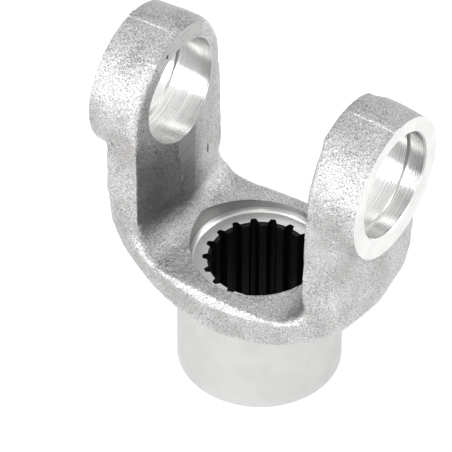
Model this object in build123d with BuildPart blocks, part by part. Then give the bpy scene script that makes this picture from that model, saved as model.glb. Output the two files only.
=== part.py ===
from build123d import *
import os
from math import degrees, hypot, radians, tan

# Forged yoke of a driveshaft joint, in millimetres.
# X runs through the two ears, Z runs up the hub, and the forging dies close along Y.
# The origin is where the axis of the ear bores crosses the axis of the hub.

os.makedirs("parts", exist_ok=True)

# Ear bores: the bearing cap they take, and the grooves that hold the caps in
cap_bore = 32.0
ring_span = 76.0
ring_width = 1.5
ring_depth = 0.9
ring_land = 4.7
bore_break = 0.4

# Round boss at the top of each ear, crowned, centred a little below the bore
boss_wall = 5.5
boss_drop = 0.85
boss_crown = 0.7
neck_step = 3.0
neck_round = 2.5

# Gap between the ears as the dies leave it: narrowest on the parting plane, where its
# walls lean out towards the top, and opened out to straight edges at the front and back
gap_width = 51.1
gap_lean = 2.9
gap_edge_width = 56.6
gap_corner = 7.0
gap_edge_corner = 9.0
floor_depth = 45.5
floor_radius = 400.0
floor_fall_front = 1.6
floor_fall_back = 3.5

# Trimmed flash left along the parting line over the ears
flash_width = 2.6
flash_height = 0.35

# Arm seen from the side: nearly parallel, then flared out to the rim of the base
draft = 7.0
arm_spread = 0.5
flare_height = 6.5
flare_radius = 16.0
flare_turn = 60.0

# Belly of the base, an arc under both arms, with a rounded shoulder up to the neck
belly_drop = 18.8
belly_radius = 58.5
shoulder_radius = 8.0

# Base seen from above, with its side walls, and the bowl that rounds its corners and passes
# outside the arms
rim_overhang = 2.1
rim_radius = 97.0
rim_drop = 5.3
wall_lean = 4.0
wall_spread = 9.0
bowl_reach = 5.9
bowl_rise = 21.3

# Hub
hub_diameter = 48.2
hub_chamfer = 0.8

# Strip milled down the inside of each ear, leaning a little more than the forged face
strip_cut = 0.91
strip_lean = 3.6

# Spot face that squares the mouth of the spline
mouth_depth = 6.35
spot_diameter = 41.0
spot_edge = 1.2

# Internal spline, cut right through the hub
spline_teeth = 18
spline_module = 1.75
spline_length = 37.4
spline_space = 2.2
spline_flank = 19.3
spline_tip_radius = 0.45
spline_lead = 0.8

# Sizes that follow from those above
bore_radius = cap_bore / 2
ear_face = ring_span / 2 + ring_width + ring_land
boss_radius = bore_radius + boss_wall
boss_top = boss_radius - boss_drop
neck_face = ear_face - neck_step
hub_radius = hub_diameter / 2
floor_height = -floor_depth
rim_height = floor_height - rim_drop
belly_height = floor_height - belly_drop
mouth_height = floor_height - mouth_depth
hub_end = mouth_height - spline_length
flare_start = floor_height + flare_height
bowl_radius = neck_face + bowl_reach
rim_half = hub_radius + rim_overhang
die_depth = rim_half + rim_overhang
arm_half = boss_radius + arm_spread

# Spline radii
pitch_radius = spline_module * spline_teeth / 2
major_radius = pitch_radius + 0.6 * spline_module
minor_radius = pitch_radius - 0.65 * spline_module
lead_radius = minor_radius + spline_lead
spot_radius = spot_diameter / 2

# Bosses, sloping down from their crown over a third of their width at each end
boss_inner = gap_width / 2 - 2 * strip_cut
boss_slope = (ear_face - boss_inner) / 3
boss_plane = Plane((0, 0, -boss_drop), x_dir=(1, 0, 0), z_dir=(0, -1, 0))
flash_turn = degrees(flash_width / boss_radius)
flash_plane = boss_plane.rotated((-flash_turn / 2, 0, 0))

# Half widths of the gap and of the milled strips, by height above the bore axis
gap_top = boss_top + boss_wall
gap_half = gap_width / 2
gap_edge = gap_edge_width / 2
gap_open = gap_half + (gap_edge - gap_half) * die_depth / arm_half
gap_foot = gap_half - floor_depth * tan(radians(gap_lean))
gap_mouth = gap_half + gap_top * tan(radians(gap_lean))
strip_half = gap_half + strip_cut
strip_end = floor_height + gap_corner
strip_mouth = strip_half + gap_top * tan(radians(strip_lean))
strip_foot = strip_half + strip_end * tan(radians(strip_lean))


# One cross section of the gap: floor arc, rounded corners and two walls
def gap_section(plane, foot, mouth, floor, corner):
    sag = foot**2 / (2 * floor_radius)
    with BuildSketch(plane) as section:
        with BuildLine():
            bottom = ThreePointArc((-foot, floor + sag), (0, floor), (foot, floor + sag))
            Polyline(bottom @ 1, (mouth, gap_top), (-mouth, gap_top), bottom @ 0)
        make_face()
        fillet(section.vertices().group_by(Axis.Y)[0], corner)
    return section.sketch


# One groove of the spline, pointing along X
groove_taper = tan(radians(spline_flank))
groove_inner = minor_radius - spline_module / 2
inner_half = spline_space / 2 + groove_taper * (pitch_radius - groove_inner)
tip_half = spline_space / 2 + groove_taper * (pitch_radius - major_radius)
with BuildSketch() as spline_groove:
    with BuildLine():
        Polyline(
            (groove_inner, -inner_half),
            (major_radius, -tip_half),
            (major_radius, tip_half),
            (groove_inner, inner_half),
            close=True,
        )
    make_face()
    fillet(spline_groove.vertices().group_by(Axis.X)[-1], spline_tip_radius)


# Half section of both bosses from an inner end outwards, beside the boss axis
def boss_section(plane, radius, inner_end):
    with BuildSketch(plane) as section:
        with BuildLine():
            Polyline(
                (boss_inner, 0),
                (boss_inner, radius),
                (boss_inner + boss_slope, radius + boss_crown),
                (ear_face - boss_slope, radius + boss_crown),
                (ear_face, radius),
                (ear_face, 0),
                close=True,
            )
        make_face()
        with Locations((inner_end, 0)):
            Rectangle(ear_face - inner_end, 2 * radius, align=Align.MIN, mode=Mode.INTERSECT)
        mirror(about=Plane.YZ)
    return section.sketch


# Gap between the ears
floor_front = floor_height - floor_fall_front * die_depth / arm_half
floor_back = floor_height - floor_fall_back * die_depth / arm_half
gap_front = gap_section(Plane.XZ.offset(die_depth), gap_open, gap_open, floor_front, gap_edge_corner)
gap_middle = gap_section(Plane.XZ, gap_foot, gap_mouth, floor_height, gap_corner)
gap_back = gap_section(Plane.XZ.offset(-die_depth), gap_open, gap_open, floor_back, gap_edge_corner)
with BuildPart() as gap_form:
    loft([gap_front, gap_middle], ruled=True)
    loft([gap_middle, gap_back], ruled=True)

# Base seen from above: two wide arcs, spreading above the rim and leaning in below it
with BuildPart() as rim_form:
    with BuildSketch(Plane.XY.offset(rim_height)) as rim_outline:
        with Locations((0, rim_half - rim_radius)):
            Circle(rim_radius)
        with Locations((0, rim_radius - rim_half)):
            Circle(rim_radius, mode=Mode.INTERSECT)
    extrude(amount=boss_top - rim_height, taper=-wall_spread)
    extrude(rim_outline.sketch, amount=hub_end - rim_height, taper=wall_lean)

# Bowl turned about the hub axis
bowl_height = floor_height + bowl_rise
with BuildPart() as bowl_form:
    with BuildSketch(Plane.XZ):
        with Locations((0, bowl_height)):
            Circle(bowl_radius)
            Rectangle(bowl_radius, bowl_radius, align=(Align.MIN, Align.MAX), mode=Mode.INTERSECT)
            Rectangle(bowl_radius, gap_top - bowl_height, align=Align.MIN)
    revolve(axis=Axis.Z)

with BuildPart() as yoke:
    # Arms and belly on the parting plane, drafted both ways
    with BuildSketch(Plane.XZ) as arm_outline:
        with Locations((0, belly_height + belly_radius)):
            Circle(belly_radius)
        with Locations((0, boss_top)):
            Rectangle(
                2 * neck_face,
                boss_top - belly_height,
                align=(Align.CENTER, Align.MAX),
                mode=Mode.INTERSECT,
            )
        fillet(arm_outline.vertices().group_by(Axis.Y)[0], shoulder_radius)
    extrude(amount=die_depth, both=True, taper=draft)

    # Side outline: arm and flare, round at the top
    with BuildSketch(Plane.YZ):
        with BuildLine():
            arm = Line((boss_radius, -boss_drop), (arm_half, flare_start))
            flare = JernArc(arm @ 1, arm % 1, flare_radius, flare_turn)
            Line(flare @ 1, ((flare @ 1).X, hub_end))
            Line(((flare @ 1).X, hub_end), (0, hub_end))
            Line((0, -boss_drop), arm @ 0)
            mirror(about=Plane.YZ)
        make_face()
        with Locations((0, -boss_drop)):
            Circle(boss_radius)
    extrude(amount=ear_face, both=True, mode=Mode.INTERSECT)
    add(rim_form.part, mode=Mode.INTERSECT)
    add(bowl_form.part, mode=Mode.INTERSECT)

    # Bosses
    boss_axis = Axis((0, 0, -boss_drop), (1, 0, 0))
    revolve(boss_section(boss_plane, boss_radius, boss_inner), axis=boss_axis)

    # Gap
    add(gap_form.part, mode=Mode.SUBTRACT)

    # Round where the bosses stand out of the arms
    neck_edges = yoke.edges().filter_by(
        lambda e: neck_face - neck_step < abs((e @ 0.5).X) < neck_face
        and abs(hypot((e @ 0.5).Y, (e @ 0.5).Z + boss_drop) - boss_radius) < 2 * boss_crown
        and (e @ 0.5).Z < -boss_radius / 2
    )
    fillet(neck_edges, neck_round)

    # Flash trimmed off along the parting line over the ears
    flash = boss_section(flash_plane, boss_radius + flash_height, gap_edge)
    revolve(flash, axis=boss_axis, revolution_arc=flash_turn)

    # Hub, chamfered at its end
    with BuildSketch(Plane.XZ) as hub_profile:
        with Locations((0, hub_end)):
            Rectangle(hub_radius, rim_height - rim_overhang - hub_end, align=Align.MIN)
        chamfer(hub_profile.vertices().group_by(Axis.Y)[0].sort_by(Axis.X)[-1], hub_chamfer)
    revolve(axis=Axis.Z)

    # Ear bores, with their ring grooves and broken edges
    with BuildSketch(Plane.XZ):
        Rectangle(ear_face, bore_radius, align=Align.MIN)
        with Locations((ring_span / 2, 0)):
            Rectangle(ring_width, bore_radius + ring_depth, align=Align.MIN)
        with BuildLine():
            Polyline(
                (ear_face - bore_break, 0),
                (ear_face - bore_break, bore_radius),
                (ear_face, bore_radius + bore_break),
                (ear_face, 0),
                close=True,
            )
        make_face()
        mirror(about=Plane.YZ)
    revolve(axis=Axis.X, mode=Mode.SUBTRACT)

    # Milled strips
    with BuildSketch(Plane.XZ):
        with BuildLine():
            Polyline(
                (-strip_foot, strip_end),
                (strip_foot, strip_end),
                (strip_mouth, gap_top),
                (-strip_mouth, gap_top),
                close=True,
            )
        make_face()
    extrude(amount=die_depth, both=True, mode=Mode.SUBTRACT)

    # Spot face, and the core of the spline with a lead at each end
    with BuildSketch(Plane.XZ) as mouth_profile:
        with BuildLine():
            Polyline(
                (0, strip_end),
                (spot_radius, strip_end),
                (spot_radius, mouth_height),
                (lead_radius, mouth_height),
                (minor_radius, mouth_height - spline_lead),
                (minor_radius, hub_end + spline_lead),
                (lead_radius, hub_end),
                (0, hub_end),
                close=True,
            )
        make_face()
        chamfer(mouth_profile.vertices().group_by(Axis.X)[-1].sort_by(Axis.Y)[0], spot_edge)
    revolve(axis=Axis.Z, mode=Mode.SUBTRACT)

    # Spline grooves
    with BuildSketch(Plane.XY.offset(hub_end)):
        with PolarLocations(0, spline_teeth, start_angle=90):
            add(spline_groove.sketch)
    extrude(amount=spline_length, mode=Mode.SUBTRACT)

yoke.part.label = "yoke"
export_step(yoke.part, "parts/yoke.step")
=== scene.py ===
"""Forged yoke: the finish of its surfaces, with a floor, studio light and the camera."""

import math

import bmesh
import bpy
from bpy.props import FloatProperty, FloatVectorProperty, IntProperty, PointerProperty
from mathutils import Matrix, Vector


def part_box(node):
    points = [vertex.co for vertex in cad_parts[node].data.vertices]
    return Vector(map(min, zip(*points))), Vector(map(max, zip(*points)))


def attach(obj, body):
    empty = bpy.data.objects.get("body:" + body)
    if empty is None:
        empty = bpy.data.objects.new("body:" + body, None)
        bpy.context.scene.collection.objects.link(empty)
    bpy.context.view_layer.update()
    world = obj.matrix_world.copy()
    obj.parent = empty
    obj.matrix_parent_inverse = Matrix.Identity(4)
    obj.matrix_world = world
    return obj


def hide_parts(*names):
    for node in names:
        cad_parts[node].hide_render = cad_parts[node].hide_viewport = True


bl_info = {
    "name": "Forged yoke",
    "version": (1, 0, 0),
    "blender": (4, 5, 0),
    "location": "View3D > Sidebar > Yoke",
    "description": "Finishes the forging and its machined faces, and sets up the studio",
    "category": "Object",
}

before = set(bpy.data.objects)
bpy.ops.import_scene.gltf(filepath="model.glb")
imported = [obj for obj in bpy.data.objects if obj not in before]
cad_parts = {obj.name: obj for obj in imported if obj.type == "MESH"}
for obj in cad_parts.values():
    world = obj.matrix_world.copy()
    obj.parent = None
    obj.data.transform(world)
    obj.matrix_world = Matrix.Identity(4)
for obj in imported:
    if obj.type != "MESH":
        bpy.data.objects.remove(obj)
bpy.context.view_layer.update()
FLOOR_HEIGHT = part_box("yoke")[0].z
EAR_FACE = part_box("yoke")[1].x

# Sizes by which the faces are told apart, in metres, as in the part's source
GROOVE_RADIUS = 0.0169
BOSS_DROP = 0.00085
BOSS_RADIUS = 0.0215
FLASH_HALF = 0.0014
STRIP_HALF = 0.02646
STRIP_SLOPE = math.tan(math.radians(3.6))
STRIP_END = -0.0385
SPOT_RADIUS = 0.0205
SPOT_FLOOR = -0.05185
SPLINE_REACH = 0.018
HUB_RADIUS = 0.0241

# What lies closer than this counts as touching
NEAR = 0.00003

# Painted shade on machined surfaces: the heights between which it sets in, and how dark it gets
BORE_CROWN_SHADE = (-0.012, -0.004, 0.65)
STRIP_FOOT_SHADE = (-0.005, -0.017, 0.8)
SPOT_WALL_SHADE = (SPOT_FLOOR + 0.0007, SPOT_FLOOR + 0.0013, 0.75)

# Where the painted shade between the ears begins and fades: at the foot, at the ears and to the back,
# which is left lighter where the side light reaches it
SHADE_FOOT = (-0.047, -0.036)
SHADE_HEAD = (-0.016, -0.003)
SHADE_BACK = (0.003, 0.010)

# The skin is cut at most so many times, where an edge is so much longer than the mesh size
SKIN_CUTS = 7
LONG_EDGE = 1.45

# The flash keeps its shape but for this share of the easing
FLASH_EASE = 0.03

# The skin stays where its noise has this value, and lies lower where the noise is less
RELIEF_LEVEL = 0.72

# How far an edge stands proud of its surroundings, this many mesh sizes wide, where it starts to
# look rubbed and where it is bare; the bare steel on these edges is also a painted highlight
WORN_WIDTH = 3
WORN_FROM = 0.00005
WORN_BARE = 0.00028
BARE_STEEL_SHEEN = (0.72, 0.72, 0.715)

# Least angles of a sharp edge: between two finishes, and within one
SEAM_CREASE = math.radians(14)
CUT_CREASE = math.radians(28)

FLOOR_RADIUS = 6
FLOOR_GLOW = 0.42

SKIN, BORED, FACED, MILLED, SPOT, SPLINE, TURNED = range(7)

# Softboxes, with the way from the yoke to each, its distance, its width and its height
SOFTBOXES = {
    "key": ((-0.395, -0.86, 0.31), 0.9, 0.7, 0.5),
    "side": ((0.86, 0.42, 0.28), 0.9, 0.5, 0.5),
    "fill": ((0.75, -0.65, 0.1), 1.2, 0.5, 0.5),
    "top": ((0.25, -0.15, 1.0), 1.2, 0.9, 0.9),
}

# Small dents, with half their size along each axis
NICKS = (
    ((-0.0262, 0.0120, -0.0311), (0.001, 0.0007, 0.0019)),
    ((-0.0275, -0.0064, 0.0171), (0.001, 0.0006, 0.0008)),
    ((-0.0269, -0.0135, -0.0133), (0.001, 0.0004, 0.0005)),
)


class ForgingSettings(bpy.types.PropertyGroup):
    """Forged skin and machined faces"""

    mesh_size: FloatProperty(
        name="Mesh size", description="Width of the skin's triangles", default=0.00105, unit="LENGTH"
    )
    rounding: IntProperty(
        name="Rounding", description="How many times the skin's edges are eased", default=7, min=0
    )
    relief_height: FloatProperty(
        name="Relief height",
        description="Depth of the hollows in the skin",
        default=0.00024,
        unit="LENGTH",
    )
    relief_size: FloatProperty(
        name="Relief size",
        description="Width of the hollows in the skin",
        default=0.0045,
        unit="LENGTH",
    )
    speckle_size: FloatProperty(
        name="Speckle size",
        description="Width of the blasted skin's pits",
        default=0.0004,
        unit="LENGTH",
    )
    skin_colour: FloatVectorProperty(
        name="Skin colour",
        description="Blasted forging skin",
        subtype="COLOR",
        default=(0.47, 0.469, 0.466),
        min=0,
        max=1,
    )
    # Dark scale in the pits, dents and tool marks; also the colour of painted shade between the ears and
    # on machined faces
    scale_and_shade_colour: FloatVectorProperty(
        name="Scale colour",
        description="Darker scale left in pits and between the ears",
        subtype="COLOR",
        default=(0.16, 0.157, 0.157),
        min=0,
        max=1,
    )
    machined_colour: FloatVectorProperty(
        name="Machined colour",
        description="Turned, faced and bored steel",
        subtype="COLOR",
        default=(0.78, 0.78, 0.77),
        min=0,
        max=1,
    )
    # Near-black: painted shade deep inside the spline hole
    spline_shade_colour: FloatVectorProperty(
        name="Spline colour",
        description="Dark oiled steel inside the spline",
        subtype="COLOR",
        default=(0.012, 0.013, 0.012),
        min=0,
        max=1,
    )


class StageSettings(bpy.types.PropertyGroup):
    """Floor, light and camera"""

    view_azimuth: FloatProperty(
        name="View azimuth",
        description="Turn of the camera round the yoke, from the front",
        default=math.radians(33.28),
        subtype="ANGLE",
    )
    view_elevation: FloatProperty(
        name="View elevation",
        description="Height of the camera above the horizon",
        default=math.radians(43.80),
        subtype="ANGLE",
    )
    view_roll: FloatProperty(
        name="View roll",
        description="Turn of the picture about its middle",
        default=math.radians(0.24),
        subtype="ANGLE",
    )
    view_distance: FloatProperty(
        name="View distance",
        description="From the crossing of the bore and hub axes to the camera",
        default=1.344,
        unit="LENGTH",
    )
    view_right: FloatProperty(
        name="View right", description="Camera shifted to its right", default=-0.01008, unit="LENGTH"
    )
    view_up: FloatProperty(
        name="View up", description="Camera shifted upwards", default=-0.02802, unit="LENGTH"
    )
    focal_length: FloatProperty(name="Focal length", description="In millimetres", default=381.3)
    room_light: FloatProperty(
        name="Room light", description="Strength of the light from all round", default=0.45, min=0
    )
    key_power: FloatProperty(
        name="Key light",
        description="Power of the low softbox at the front on the left",
        default=5.5,
        unit="POWER",
    )
    side_power: FloatProperty(
        name="Side light",
        description="Power of the softbox behind on the right",
        default=3.4,
        unit="POWER",
    )
    fill_power: FloatProperty(
        name="Fill light",
        description="Power of the softbox at the front on the right",
        default=2.0,
        unit="POWER",
    )
    top_power: FloatProperty(
        name="Top light",
        description="Power of the wide softbox overhead",
        default=3.0,
        unit="POWER",
    )
    floor_colour: FloatVectorProperty(
        name="Floor colour",
        description="Paper under the yoke",
        subtype="COLOR",
        default=(0.85, 0.85, 0.85),
        min=0,
        max=1,
    )


def shaded(colour, share):
    """A colour made lighter or darker"""
    return [c * share for c in colour]


def fill_inputs(tree, node, inputs):
    """Give a node's inputs their values, or link them where a socket is given"""
    for name, value in inputs.items():
        if isinstance(value, bpy.types.NodeSocket):
            tree.links.new(value, node.inputs[name])
        else:
            node.inputs[name].default_value = value


def add_node(tree, kind, inputs=None, **settings):
    """A node with its settings, and its inputs filled"""
    node = tree.nodes.new(kind)
    for name, value in settings.items():
        setattr(node, name, value)
    fill_inputs(tree, node, inputs or {})
    return node


def add_group(tree, group, inputs):
    """A node that uses a node group"""
    node = tree.nodes.new("ShaderNodeGroup")
    node.node_tree = group
    fill_inputs(tree, node, inputs)
    return node


def add_maths(tree, operation, *values):
    """The result of one sum on values or sockets"""
    node = add_node(tree, "ShaderNodeMath", dict(enumerate(values)), operation=operation)
    return node.outputs[0]


def add_band(tree, value, low, high):
    """0 below low, 1 above high, smooth between"""
    inputs = {"Value": value, "From Min": low, "From Max": high}
    return add_node(tree, "ShaderNodeMapRange", inputs, interpolation_type="SMOOTHSTEP").outputs[0]


def add_mix(tree, share, first, second, blend="MIX"):
    """Two colours mixed by a share, each a colour, a grey or a socket"""
    node = add_node(tree, "ShaderNodeMix", data_type="RGBA", blend_type=blend)
    for socket, value in ((node.inputs[0], share), (node.inputs[6], first), (node.inputs[7], second)):
        if isinstance(value, bpy.types.NodeSocket):
            tree.links.new(value, socket)
        elif hasattr(value, "__len__"):
            socket.default_value = (*value, 1)
        else:
            socket.default_value = value
    return node.outputs[2]


def new_group(name, inputs, outputs):
    """A shader node group with its input and output nodes"""
    group = bpy.data.node_groups.new(name, "ShaderNodeTree")
    for label, kind, default in inputs:
        socket = group.interface.new_socket(label, in_out="INPUT", socket_type=kind)
        if default is not None:
            socket.default_value = default
    for label in outputs:
        group.interface.new_socket(label, in_out="OUTPUT", socket_type="NodeSocketFloat")
    return group, group.nodes.new("NodeGroupInput"), group.nodes.new("NodeGroupOutput")


def make_speckle_group(settings):
    """Blasted steel: fine pits, thicker in some patches"""
    group, given, result = new_group(
        "blasted_speckle",
        [("Position", "NodeSocketVector", None), ("Amount", "NodeSocketFloat", 0.5)],
        ["Grain", "Pits", "Height"],
    )
    place = given.outputs["Position"]
    scale = 1 / settings.speckle_size
    noise = {"Vector": place, "Scale": scale, "Detail": 3, "Roughness": 0.7}
    fine = add_node(group, "ShaderNodeTexNoise", noise)
    patch = add_node(group, "ShaderNodeTexNoise", {"Vector": place, "Scale": scale / 20, "Detail": 4})
    thick = add_band(group, patch.outputs["Fac"], 0.5, 0.66)
    share = add_maths(group, "MULTIPLY", thick, given.outputs["Amount"])
    edge = add_maths(group, "SUBTRACT", 0.64, add_maths(group, "MULTIPLY", share, 0.24))
    over = add_maths(group, "SUBTRACT", fine.outputs["Fac"], edge)
    group.links.new(add_band(group, fine.outputs["Fac"], 0.7, 0.3), result.inputs["Grain"])
    group.links.new(add_band(group, over, 0.0, 0.12), result.inputs["Pits"])
    group.links.new(fine.outputs["Fac"], result.inputs["Height"])
    return group


def make_tool_mark_group():
    """Fine lines left by a cutting tool, at every pitch along a distance"""
    group, given, result = new_group(
        "tool_marks",
        [
            ("Position", "NodeSocketVector", None),
            ("Distance", "NodeSocketFloat", 0.0),
            ("Pitch", "NodeSocketFloat", 0.0003),
        ],
        ["Lines", "Height"],
    )
    turns = add_maths(group, "DIVIDE", given.outputs["Distance"], given.outputs["Pitch"])
    streak = add_node(
        group, "ShaderNodeTexNoise", {"W": turns, "Scale": 1.0, "Detail": 2}, noise_dimensions="1D"
    )
    noise = {"Vector": given.outputs["Position"], "Scale": 220.0, "Detail": 2}
    blotch = add_node(group, "ShaderNodeTexNoise", noise)
    fade = add_band(group, blotch.outputs["Fac"], 0.3, 0.65)
    lines = add_maths(group, "MULTIPLY", add_band(group, streak.outputs["Fac"], 0.5, 0.68), fade)
    group.links.new(lines, result.inputs["Lines"])
    group.links.new(streak.outputs["Fac"], result.inputs["Height"])
    return group


def make_nick_group():
    """1 inside the small ragged dents, otherwise 0"""
    group, given, result = new_group("nicks", [("Position", "NodeSocketVector", None)], ["Dents"])
    place = given.outputs["Position"]
    ragged = add_node(group, "ShaderNodeTexNoise", {"Vector": place, "Scale": 2200.0})
    dents = 0.0
    for centre, size in NICKS:
        off = add_node(group, "ShaderNodeVectorMath", {0: place, 1: centre}, operation="SUBTRACT")
        share = add_node(group, "ShaderNodeVectorMath", {0: off.outputs[0], 1: size}, operation="DIVIDE")
        out = add_node(group, "ShaderNodeVectorMath", {0: share.outputs[0]}, operation="LENGTH")
        rough = add_maths(group, "ADD", out.outputs["Value"], ragged.outputs["Fac"])
        dents = add_maths(group, "MAXIMUM", add_band(group, rough, 1.6, 1.2), dents)
    group.links.new(dents, result.inputs["Dents"])
    return group


def new_material(name):
    """A material with a Principled shader and its object coordinates"""
    material = bpy.data.materials.new(name)
    material.use_nodes = True
    tree = material.node_tree
    shader = tree.nodes["Principled BSDF"]
    coordinates = tree.nodes.new("ShaderNodeTexCoord")
    axes = add_node(tree, "ShaderNodeSeparateXYZ", {"Vector": coordinates.outputs["Object"]})
    return material, tree, shader, coordinates.outputs["Object"], axes


def add_bump(tree, shader, height, distance):
    """Relief in the shading, of a depth in metres"""
    bump = add_node(tree, "ShaderNodeBump", {"Height": height, "Distance": distance, "Strength": 0.5})
    tree.links.new(bump.outputs["Normal"], shader.inputs["Normal"])


def make_skin(settings, speckle, nicks):
    """Blasted forging skin, with painted shade between the ears, and bare steel on rubbed edges
    that also serves as their painted highlight
    """
    material, tree, shader, place, axes = new_material("forged_skin")
    grain = add_group(tree, speckle, {"Position": place, "Amount": 0.75})
    gap_shade = add_node(tree, "ShaderNodeAttribute", attribute_name="between_ears").outputs["Fac"]
    wear_and_sheen = add_node(tree, "ShaderNodeAttribute", attribute_name="worn_edge").outputs["Fac"]
    cloud = add_node(tree, "ShaderNodeTexNoise", {"Vector": place, "Scale": 110.0, "Detail": 5})
    shade = add_band(tree, cloud.outputs["Fac"], 0.3, 0.7)
    red, green, blue = settings.skin_colour
    warm, cool = (red * 0.9, green * 0.885, blue * 0.88), (red * 1.12, green * 1.13, blue * 1.13)
    base = add_mix(tree, shade, warm, cool)
    # Painted shade between the ears: the scale colour laid where the ears shadow each other's inner
    # faces
    scale = add_mix(tree, shade, settings.scale_and_shade_colour, shaded(settings.scale_and_shade_colour, 1.5))
    base = add_mix(tree, gap_shade, base, scale)
    # Bare steel on the rubbed edges, which is also their painted highlight
    base = add_mix(tree, add_maths(tree, "MULTIPLY", wear_and_sheen, 0.7), base, BARE_STEEL_SHEEN)
    tone = add_maths(tree, "MULTIPLY_ADD", grain.outputs["Grain"], 1.05, 0.46)
    base = add_mix(tree, 1.0, base, tone, "MULTIPLY")
    pits = add_maths(tree, "MULTIPLY", grain.outputs["Pits"], 0.75)
    base = add_mix(tree, pits, base, settings.scale_and_shade_colour)
    dents = add_group(tree, nicks, {"Position": place}).outputs["Dents"]
    base = add_mix(tree, dents, base, shaded(settings.scale_and_shade_colour, 0.2))
    tree.links.new(base, shader.inputs["Base Color"])
    shader.inputs["Metallic"].default_value = 0.75
    rough = add_maths(tree, "MULTIPLY_ADD", grain.outputs["Height"], 0.28, 0.2)
    tree.links.new(add_maths(tree, "MULTIPLY_ADD", wear_and_sheen, 0.14, rough), shader.inputs["Roughness"])
    lumps = add_node(tree, "ShaderNodeTexNoise", {"Vector": place, "Scale": 650.0, "Detail": 1})
    height = add_maths(tree, "MULTIPLY_ADD", lumps.outputs["Fac"], 1.6, grain.outputs["Height"])
    add_bump(tree, shader, height, 0.0004)
    return material


def along_bore(tree, axes):
    return axes.outputs["X"]


def up_hub(tree, axes):
    return axes.outputs["Z"]


def add_distance(tree, axes, *names):
    """Distance from the axis that the two named coordinates lie across"""
    across = add_node(tree, "ShaderNodeCombineXYZ", {name: axes.outputs[name] for name in names})
    length = add_node(tree, "ShaderNodeVectorMath", {0: across.outputs[0]}, operation="LENGTH")
    return length.outputs["Value"]


def out_from_bore(tree, axes):
    return add_distance(tree, axes, "Y", "Z")


def out_from_hub(tree, axes):
    return add_distance(tree, axes, "X", "Y")


def make_cut(name, settings, marks, measure, pitch, colour, dark, rough, depth, shade_band=None, nicks=None):
    """Machined steel with tool marks at every pitch of what is measured, with painted shade between two
    heights
    """
    material, tree, shader, place, axes = new_material(name)
    distance = measure(tree, axes)
    lines = add_group(tree, marks, {"Position": place, "Distance": distance, "Pitch": pitch})
    cloud = add_node(tree, "ShaderNodeTexNoise", {"Vector": place, "Scale": 140.0, "Detail": 3})
    base = add_mix(tree, add_band(tree, cloud.outputs["Fac"], 0.3, 0.7), shaded(colour, 0.93), colour)
    # Painted shade: darker between two heights, in the scale colour
    if shade_band:
        low, high, share = shade_band
        height = add_maths(tree, "MULTIPLY_ADD", cloud.outputs["Fac"], 0.001, axes.outputs["Z"])
        shade_veil = add_maths(tree, "MULTIPLY", add_band(tree, height, low, high), share)
        base = add_mix(tree, shade_veil, base, settings.scale_and_shade_colour)
    cut = add_maths(tree, "MULTIPLY", lines.outputs["Lines"], dark)
    base = add_mix(tree, cut, base, shaded(settings.scale_and_shade_colour, 0.35))
    if nicks:
        dents = add_group(tree, nicks, {"Position": place}).outputs["Dents"]
        base = add_mix(tree, dents, base, shaded(settings.scale_and_shade_colour, 0.2))
    tree.links.new(base, shader.inputs["Base Color"])
    shader.inputs["Metallic"].default_value = 0.85
    uneven = add_maths(tree, "MULTIPLY_ADD", cloud.outputs["Fac"], 0.12, rough)
    tree.links.new(uneven, shader.inputs["Roughness"])
    add_bump(tree, shader, lines.outputs["Height"], depth)
    return material


def make_cuts(settings, nicks):
    """The materials of the machined finishes"""
    marks = make_tool_mark_group()
    bright, spline_shade = tuple(settings.machined_colour), tuple(settings.spline_shade_colour)
    fine, coarse, milled = 0.0003, 0.0005, 0.0009
    bored = {"colour": shaded(bright, 1.2), "dark": 0.35, "rough": 0.16, "depth": 0.00006}
    faced = {"colour": shaded(bright, 0.97), "dark": 0.05, "rough": 0.42, "depth": 0.00001}
    # The milled strip is a darker copy of the machined colour: painted shade of the gap between the ears
    strip = {"colour": shaded(bright, 0.6), "dark": 0.5, "rough": 0.35, "depth": 0.0001, "nicks": nicks}
    spot = {"colour": bright, "dark": 0.15, "rough": 0.25, "depth": 0.00002}
    # The spline's near-black colour is painted shade inside the hub's hole
    spline = {"colour": spline_shade, "dark": 0.3, "rough": 0.5, "depth": 0.00002}
    turned = {"colour": shaded(bright, 0.75), "dark": 0.04, "rough": 0.40, "depth": 0.00001}
    return {
        BORED: make_cut("bored_steel", settings, marks, along_bore, fine, shade_band=BORE_CROWN_SHADE, **bored),
        FACED: make_cut("faced_steel", settings, marks, out_from_bore, fine, **faced),
        MILLED: make_cut("milled_steel", settings, marks, up_hub, milled, shade_band=STRIP_FOOT_SHADE, **strip),
        SPOT: make_cut("spot_faced_steel", settings, marks, out_from_hub, fine, shade_band=SPOT_WALL_SHADE, **spot),
        SPLINE: make_cut("broached_steel", settings, marks, out_from_hub, coarse, **spline),
        TURNED: make_cut("turned_steel", settings, marks, up_hub, fine, **turned),
    }


def make_materials(settings):
    """The material of every finish"""
    nicks = make_nick_group()
    return {SKIN: make_skin(settings, make_speckle_group(settings), nicks), **make_cuts(settings, nicks)}


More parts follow.
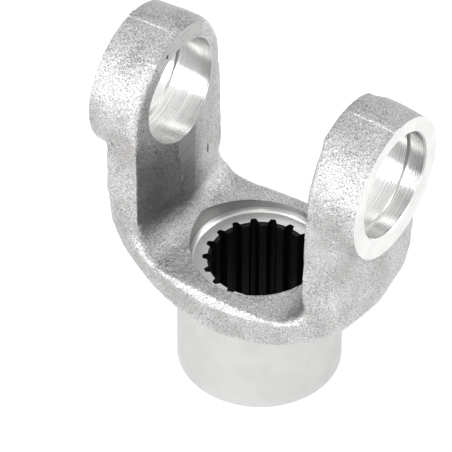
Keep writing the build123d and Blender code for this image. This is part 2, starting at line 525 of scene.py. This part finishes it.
def finish_of(face):
    """Which finish a face of the CAD mesh has, from where it lies and which way it points"""
    middle, way = face.calc_center_median(), face.normal
    corners = [v.co for v in face.verts]
    from_bore = max(math.hypot(c.y, c.z) for c in corners)
    from_hub = max(math.hypot(c.x, c.y) for c in corners)
    across = abs(middle.x)
    if across > EAR_FACE - NEAR and abs(way.x) > 0.99:
        return FACED
    if from_bore < GROOVE_RADIUS + NEAR and across > HUB_RADIUS / 2:
        return BORED
    strip = max(abs(abs(c.x) - STRIP_HALF - c.z * STRIP_SLOPE) for c in corners)
    if strip < NEAR and middle.z > STRIP_END - NEAR and abs(way.x) > 0.9:
        return MILLED
    if abs(middle.z - STRIP_END) < NEAR and way.z > 0.9:
        return MILLED
    if from_hub < SPLINE_REACH and middle.z < SPOT_FLOOR - NEAR:
        tall = max(c.z for c in corners) - min(c.z for c in corners) > NEAR
        return SPLINE if tall else TURNED
    if from_hub < SPOT_RADIUS + NEAR and middle.z > SPOT_FLOOR - NEAR and middle.z < STRIP_END:
        return SPOT
    if from_hub < HUB_RADIUS + NEAR and middle.z < SPOT_FLOOR:
        return TURNED
    return SKIN


def ramp(value, low, high):
    """0 at low, 1 at high, held beyond"""
    return min(1, max(0, (value - low) / (high - low)))


def is_skin(item):
    """Whether a vertex or edge lies in the skin only"""
    return all(f.material_index == SKIN for f in item.link_faces)


def even_out(mesh, size):
    """Cut the skin into triangles of about one size, and leave the edges of round cuts alone"""
    flat = (SKIN, MILLED, FACED)
    for _ in range(SKIN_CUTS):
        long = [
            e
            for e in mesh.edges
            if e.calc_length() > LONG_EDGE * size
            and any(f.material_index == SKIN for f in e.link_faces)
            and all(f.material_index in flat for f in e.link_faces)
        ]
        if not long:
            break
        bmesh.ops.subdivide_edges(mesh, edges=long, cuts=1)
        split = [f for f in mesh.faces if len(f.verts) > 3]
        bmesh.ops.triangulate(mesh, faces=split, quad_method="SHORT_EDGE")


def build_forging_mesh(size):
    """The CAD mesh with its faces sorted by finish, the skin evened out and its masks laid on"""
    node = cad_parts["yoke"]
    mesh = bmesh.new()
    mesh.from_mesh(node.data)
    bmesh.ops.remove_doubles(mesh, verts=mesh.verts, dist=NEAR)
    mesh.normal_update()
    for face in mesh.faces:
        face.material_index = finish_of(face)
    even_out(mesh, size)
    mesh.normal_update()
    eased = mesh.verts.layers.float.new("eased")
    between = mesh.verts.layers.float.new("between_ears")
    for vert in mesh.verts:
        above = math.hypot(vert.co.y, vert.co.z + BOSS_DROP)
        flash = abs(vert.co.y) < FLASH_HALF and vert.co.z > 0 and above > BOSS_RADIUS
        vert[eased] = (FLASH_EASE if flash else 1.0) if is_skin(vert) else 0.0
        # Painted shade between the ears: inward faces darker from the foot up to the ears, lighter to
        # the back where the side light reaches
        inward = -vert.normal.x * math.copysign(1, vert.co.x)
        height = ramp(vert.co.z, *SHADE_FOOT) * (1 - 0.75 * ramp(vert.co.z, *SHADE_HEAD))
        vert[between] = ramp(inward, 0.35, 0.85) * height * (1 - 0.9 * ramp(vert.co.y, *SHADE_BACK))
    data = bpy.data.meshes.new("yoke_forging")
    mesh.to_mesh(data)
    mesh.free()
    return data


def add_blur(tree, position, turns, share):
    """The position averaged with its neighbours' so many times"""
    blur = add_node(
        tree,
        "GeometryNodeBlurAttribute",
        {"Value": position, "Iterations": turns, "Weight": share},
        data_type="FLOAT_VECTOR",
    )
    return blur.outputs[0]


def build_skin_tree():
    """Geometry nodes that ease the skin's edges, press hollows into it and mark the rubbed edges,
    which get bare steel and a painted highlight
    """
    tree = bpy.data.node_groups.new("forged_skin_relief", "GeometryNodeTree")
    tree.interface.new_socket("Geometry", in_out="INPUT", socket_type="NodeSocketGeometry")
    for name, kind in (
        ("Rounding", "NodeSocketInt"),
        ("Relief Height", "NodeSocketFloat"),
        ("Relief Size", "NodeSocketFloat"),
        ("Skin", "NodeSocketMaterial"),
    ):
        tree.interface.new_socket(name, in_out="INPUT", socket_type=kind)
    tree.interface.new_socket("Geometry", in_out="OUTPUT", socket_type="NodeSocketGeometry")
    given, result = tree.nodes.new("NodeGroupInput"), tree.nodes.new("NodeGroupOutput")
    position = tree.nodes.new("GeometryNodeInputPosition").outputs[0]
    normal = tree.nodes.new("GeometryNodeInputNormal").outputs[0]
    eased = add_node(tree, "GeometryNodeInputNamedAttribute", {"Name": "eased"}, data_type="FLOAT")
    share = eased.outputs["Attribute"]

    blurred = add_blur(tree, position, given.outputs["Rounding"], share)
    rounded = add_node(
        tree,
        "GeometryNodeSetPosition",
        {"Geometry": given.outputs["Geometry"], "Position": blurred},
    )

    # How far each edge stands proud: the mask for rubbed bare steel and its painted highlight
    level = add_blur(tree, position, WORN_WIDTH, share)
    lift = add_node(tree, "ShaderNodeVectorMath", {0: position, 1: level}, operation="SUBTRACT")
    proud = add_node(
        tree,
        "ShaderNodeVectorMath",
        {0: lift.outputs[0], 1: normal},
        operation="DOT_PRODUCT",
    )
    wear_and_sheen = add_band(tree, proud.outputs["Value"], WORN_FROM, WORN_BARE)
    marked = add_node(
        tree,
        "GeometryNodeStoreNamedAttribute",
        {"Geometry": rounded.outputs[0], "Name": "worn_edge", "Value": wear_and_sheen},
        data_type="FLOAT",
        domain="POINT",
    )

    scale = add_maths(tree, "DIVIDE", 1.0, given.outputs["Relief Size"])
    hollow = add_node(tree, "ShaderNodeTexNoise", {"Vector": position, "Scale": scale, "Detail": 2})
    depth = add_maths(tree, "SUBTRACT", hollow.outputs["Fac"], RELIEF_LEVEL)
    depth = add_maths(tree, "MULTIPLY", depth, given.outputs["Relief Height"])
    depth = add_maths(tree, "MULTIPLY", depth, share)
    push = add_node(tree, "ShaderNodeVectorMath", {0: normal, "Scale": depth}, operation="SCALE")
    pressed = add_node(
        tree, "GeometryNodeSetPosition", {"Geometry": marked.outputs[0], "Offset": push.outputs[0]}
    )

    finish = tree.nodes.new("GeometryNodeInputMaterialIndex").outputs[0]
    of_skin = add_node(
        tree,
        "FunctionNodeCompare",
        {2: finish, 3: SKIN},
        data_type="INT",
        operation="EQUAL",
    )
    real = add_node(tree, "GeometryNodeRealizeInstances", {"Geometry": pressed.outputs[0]})
    dressed = add_node(
        tree,
        "GeometryNodeSetMaterial",
        {
            "Geometry": real.outputs[0],
            "Selection": of_skin.outputs[0],
            "Material": given.outputs["Skin"],
        },
    )
    tree.links.new(dressed.outputs[0], result.inputs[0])
    return tree


def run_tree(thing, tree, values):
    """Run geometry nodes on an object and return the plain mesh they make"""
    modifier = thing.modifiers.new("relief", "NODES")
    modifier.node_group = tree
    sockets = {s.name: s.identifier for s in tree.interface.items_tree if s.in_out == "INPUT"}
    for name, value in values.items():
        modifier[sockets[name]] = value
    bpy.context.view_layer.update()
    ready = thing.evaluated_get(bpy.context.evaluated_depsgraph_get())
    made = bpy.data.meshes.new_from_object(ready)
    thing.modifiers.remove(modifier)
    return made


def crease_machined_edges(data):
    """Smooth faces, with sharp edges only where a cut face meets another at an angle"""
    mesh = bmesh.new()
    mesh.from_mesh(data)
    for face in mesh.faces:
        face.smooth = True
    for edge in mesh.edges:
        kinds = {f.material_index for f in edge.link_faces}
        limit = SEAM_CREASE if len(kinds) > 1 else CUT_CREASE
        edge.smooth = kinds == {SKIN} or edge.calc_face_angle(0) < limit
    mesh.to_mesh(data)
    mesh.free()


class YOKE_OT_forging(bpy.types.Operator):
    """Make the visible forging, with its blasted skin and machined faces"""

    bl_idname = "yoke.forging"
    bl_label = "Forging"

    def execute(self, context):
        settings = context.scene.yoke_forging
        materials = make_materials(settings)
        data = build_forging_mesh(settings.mesh_size)
        for finish in sorted(materials):
            data.materials.append(materials[finish])
        forging = bpy.data.objects.new("yoke_forging", data)
        context.scene.collection.objects.link(forging)
        values = {
            "Rounding": settings.rounding,
            "Relief Height": settings.relief_height,
            "Relief Size": settings.relief_size,
            "Skin": materials[SKIN],
        }
        forging.data = run_tree(forging, build_skin_tree(), values)
        crease_machined_edges(forging.data)
        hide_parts("yoke")
        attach(forging, "root")
        return {"FINISHED"}


def place_camera(settings):
    """Long lens, with the yoke a little off the middle of the picture"""
    azimuth, elevation, roll = settings.view_azimuth, settings.view_elevation, settings.view_roll
    outward = Vector((math.sin(azimuth), -math.cos(azimuth), 0))
    back = outward * math.cos(elevation) + Vector((0, 0, math.sin(elevation)))
    level = Vector((math.cos(azimuth), math.sin(azimuth), 0))
    upright = back.cross(level)
    right = level * math.cos(roll) + upright * math.sin(roll)
    up = upright * math.cos(roll) - level * math.sin(roll)
    place = back * settings.view_distance + right * settings.view_right + up * settings.view_up
    data = bpy.data.cameras.new("camera")
    data.sensor_width = 36
    data.lens = settings.focal_length
    data.clip_start, data.clip_end = 0.01, 20
    camera = bpy.data.objects.new("camera", data)
    camera.matrix_world = Matrix.Translation(place) @ Matrix((right, up, back)).transposed().to_4x4()
    bpy.context.scene.collection.objects.link(camera)
    bpy.context.scene.camera = camera


def lay_floor(settings):
    """Round sheet of paper, white to the camera but for the yoke's faint shadow"""
    mesh = bmesh.new()
    bmesh.ops.create_circle(mesh, cap_ends=True, segments=96, radius=FLOOR_RADIUS)
    bmesh.ops.translate(mesh, verts=mesh.verts, vec=(0, 0, FLOOR_HEIGHT))
    data = bpy.data.meshes.new("paper_floor")
    mesh.to_mesh(data)
    mesh.free()
    material, tree, shader, place, axes = new_material("paper")
    weave = add_node(tree, "ShaderNodeTexNoise", {"Vector": place, "Scale": 900.0, "Detail": 2})
    dim = shaded(settings.floor_colour, 0.97)
    paper = add_mix(tree, weave.outputs["Fac"], dim, settings.floor_colour)
    tree.links.new(paper, shader.inputs["Base Color"])
    shader.inputs["Roughness"].default_value = 0.9
    shader.inputs["Specular IOR Level"].default_value = 0.0
    seen = add_seen_share(tree)
    shader.inputs["Emission Color"].default_value = (1, 1, 1, 1)
    tree.links.new(add_maths(tree, "MULTIPLY", seen, FLOOR_GLOW), shader.inputs["Emission Strength"])
    data.materials.append(material)
    floor = bpy.data.objects.new("paper_floor", data)
    bpy.context.scene.collection.objects.link(floor)


def add_seen_share(tree):
    """1 for rays from the camera and for reflections and glass, otherwise 0"""
    path = tree.nodes.new("ShaderNodeLightPath")
    seen = add_maths(tree, "MAXIMUM", path.outputs["Is Camera Ray"], path.outputs["Is Glossy Ray"])
    return add_maths(tree, "MAXIMUM", seen, path.outputs["Is Transmission Ray"])


def light_room(settings):
    """White surroundings that light the yoke from all round"""
    world = bpy.data.worlds.new("studio")
    world.use_nodes = True
    tree = world.node_tree
    seen = add_seen_share(tree)
    gap = add_maths(tree, "MULTIPLY", seen, 1 - settings.room_light)
    strength = add_maths(tree, "ADD", gap, settings.room_light)
    background = tree.nodes["Background"]
    background.inputs["Color"].default_value = (1, 1, 1, 1)
    tree.links.new(strength, background.inputs["Strength"])
    bpy.context.scene.world = world


def hang_softbox(name, way, distance, width, height, power):
    """A flat lamp that faces the yoke and isn't seen by the camera"""
    data = bpy.data.lights.new(name, "AREA")
    data.shape = "RECTANGLE"
    data.size, data.size_y, data.energy = width, height, power
    lamp = bpy.data.objects.new(name, data)
    way = Vector(way).normalized()
    lamp.location = way * distance
    lamp.rotation_euler = way.to_track_quat("Z", "Y").to_euler()
    lamp.visible_camera = False
    bpy.context.scene.collection.objects.link(lamp)


class YOKE_OT_stage(bpy.types.Operator):
    """Lay the floor and set the light and camera"""

    bl_idname = "yoke.stage"
    bl_label = "Stage"

    def execute(self, context):
        settings = context.scene.yoke_stage
        lay_floor(settings)
        light_room(settings)
        for name, box in SOFTBOXES.items():
            hang_softbox(name + "_softbox", *box, getattr(settings, name + "_power"))
        place_camera(settings)
        context.scene.view_settings.view_transform = "Standard"
        return {"FINISHED"}


class YOKE_PT_panel(bpy.types.Panel):
    """Yoke sizes, colours and pieces"""

    bl_idname = "YOKE_PT_panel"
    bl_label = "Yoke"
    bl_space_type = "VIEW_3D"
    bl_region_type = "UI"
    bl_category = "Yoke"

    def draw(self, context):
        for name, operator in (("yoke_forging", "yoke.forging"), ("yoke_stage", "yoke.stage")):
            settings = getattr(context.scene, name)
            for prop in settings.bl_rna.properties:
                if prop.identifier not in ("rna_type", "name"):
                    self.layout.prop(settings, prop.identifier)
            self.layout.operator(operator)


CLASSES = (ForgingSettings, StageSettings, YOKE_OT_forging, YOKE_OT_stage, YOKE_PT_panel)


def register():
    for item in CLASSES:
        bpy.utils.register_class(item)
    bpy.types.Scene.yoke_forging = PointerProperty(type=ForgingSettings)
    bpy.types.Scene.yoke_stage = PointerProperty(type=StageSettings)


def unregister():
    del bpy.types.Scene.yoke_stage
    del bpy.types.Scene.yoke_forging
    for item in reversed(CLASSES):
        bpy.utils.unregister_class(item)


def main():
    register()
    bpy.ops.yoke.forging()
    bpy.ops.yoke.stage()


if __name__ == "__main__":
    main()
